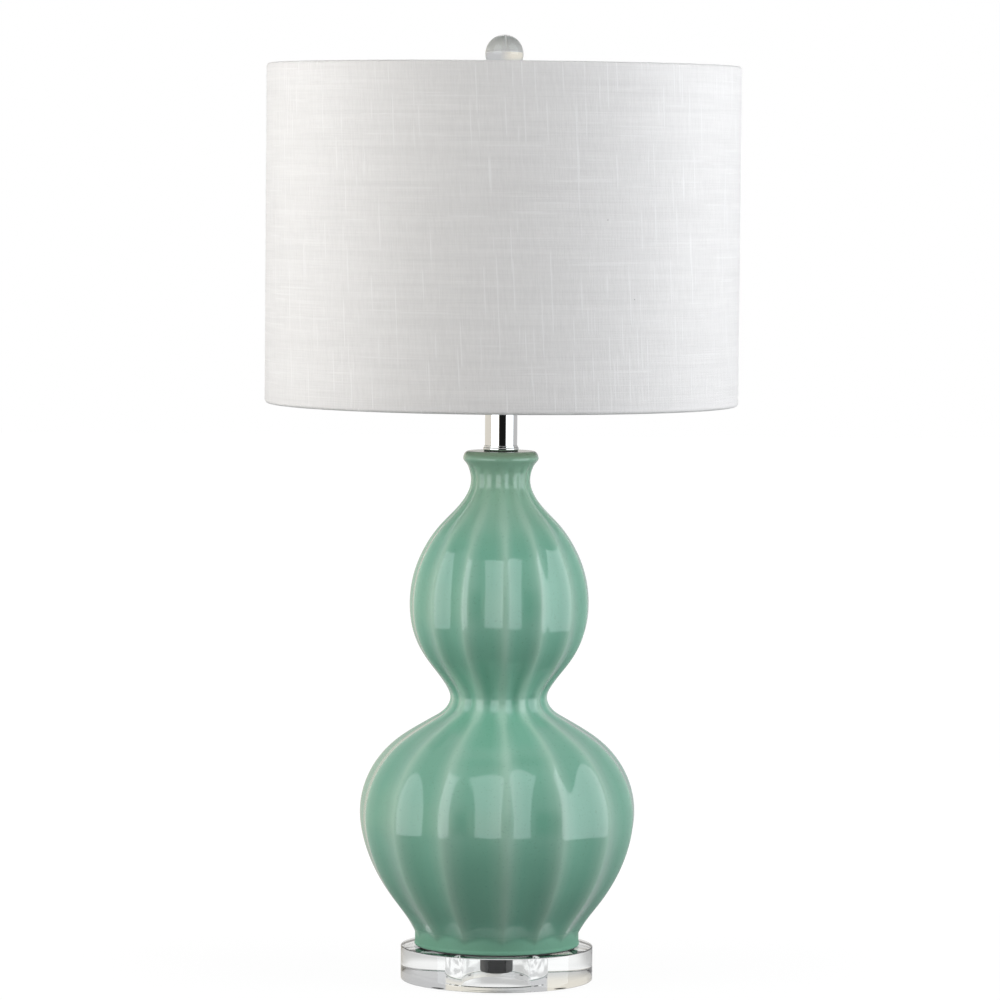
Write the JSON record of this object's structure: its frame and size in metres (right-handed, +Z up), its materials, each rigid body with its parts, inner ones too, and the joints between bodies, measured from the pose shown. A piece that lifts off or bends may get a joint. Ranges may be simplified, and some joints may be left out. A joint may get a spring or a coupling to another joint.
{
  "type": "table lamp",
  "caption": "Double-gourd table lamp with a fluted green glazed ceramic body, clear disc base, chrome neck and white drum shade.",
  "frame": {"origin": "centre of the lamp on the table top, under the clear pads", "axes": "+Z up along the lamp's axis; -Y to the front, where the switch knob points; the cord inlet is at the back, +Y"},
  "size_m": [0.3556, 0.3561, 0.7129],
  "materials": {
    "celadon_glaze": "glossy celadon green glaze",
    "clear_acrylic": "clear polished acrylic",
    "clear_pad": "clear soft plastic",
    "dark_gasket": "matt",
    "dark_bush": "matt moulded plastic",
    "zinc_steel": "zinc plated",
    "dark_steel": "dark plated",
    "polished_chrome": "polished",
    "insulating_card": "matt",
    "moulded_black": "moulded",
    "socket_aluminium": "pressed sheet",
    "contact_brass": "plain",
    "frosted_glass": "frosted white",
    "white_linen": "slubby woven cloth",
    "white_liner": "smooth translucent sheet",
    "white_wire": "white enamel"
  },
  "bodies": {
    "lamp": {"bumper_pads": "clear_pad", "base_disc": "clear_acrylic", "foot_gasket": "dark_gasket", "ceramic_body": "celadon_glaze", "cord_grommet": "dark_bush", "threaded_pipe": "zinc_steel", "base_washer": "zinc_steel", "base_lock_washer": "dark_steel", "base_nut": "dark_steel", "neck_gasket": "dark_gasket", "neck_ring": "polished_chrome", "neck_tube": "polished_chrome", "neck_cap": "polished_chrome", "harp_saddle": "polished_chrome", "saddle_nut": "polished_chrome", "harp": "polished_chrome", "harp_stud": "polished_chrome", "socket_cap": "polished_chrome", "socket_shell": "polished_chrome", "socket_insulator": "insulating_card", "switch_body": "moulded_black", "screw_shell": "socket_aluminium", "centre_contact": "contact_brass", "terminal_screws": "contact_brass"},
    "shade": {"shade_cloth": "white_linen", "shade_liner": "white_liner", "shade_top_hem": "white_linen", "shade_bottom_hem": "white_linen", "shade_seam": "white_linen", "shade_top_ring": "white_wire", "shade_bottom_ring": "white_wire", "spider_hub": "polished_chrome", "spider_arms": "polished_chrome"},
    "finial": {"finial_base": "polished_chrome", "finial_ball": "clear_acrylic"},
    "switch": {"switch_stem": "dark_steel", "switch_knob": "moulded_black"},
    "bulb": {"bulb_tip": "contact_brass", "bulb_base": "socket_aluminium", "bulb_globe": "frosted_glass"},
    "ferrule_left": {"harp_ferrule_left": "polished_chrome"},
    "ferrule_right": {"harp_ferrule_right": "polished_chrome"}
  },
  "joints": [
    {"name": "shade_swivel", "type": "hinge", "parent": "lamp", "child": "shade", "pos_m": [0, 0, 0.6758], "axis": [0, 0, 1], "continuous": true},
    {"name": "finial_turn", "type": "hinge", "parent": "lamp", "child": "finial", "pos_m": [0, 0, 0.677], "axis": [0, 0, 1], "continuous": true},
    {"name": "switch_turn", "type": "hinge", "parent": "lamp", "child": "switch", "pos_m": [0, -0.0173, 0.4739], "axis": [0, -1, 0], "continuous": true},
    {"name": "bulb_turn", "type": "hinge", "parent": "lamp", "child": "bulb", "pos_m": [0, 0, 0.4871], "axis": [0, 0, 1], "continuous": true},
    {"name": "ferrule_left_slide", "type": "slide", "parent": "lamp", "child": "ferrule_left", "axis": [0, 0, 1], "range_m": [0, 0.012]},
    {"name": "ferrule_right_slide", "type": "slide", "parent": "lamp", "child": "ferrule_right", "axis": [0, 0, 1], "range_m": [0, 0.012]}
  ]
}
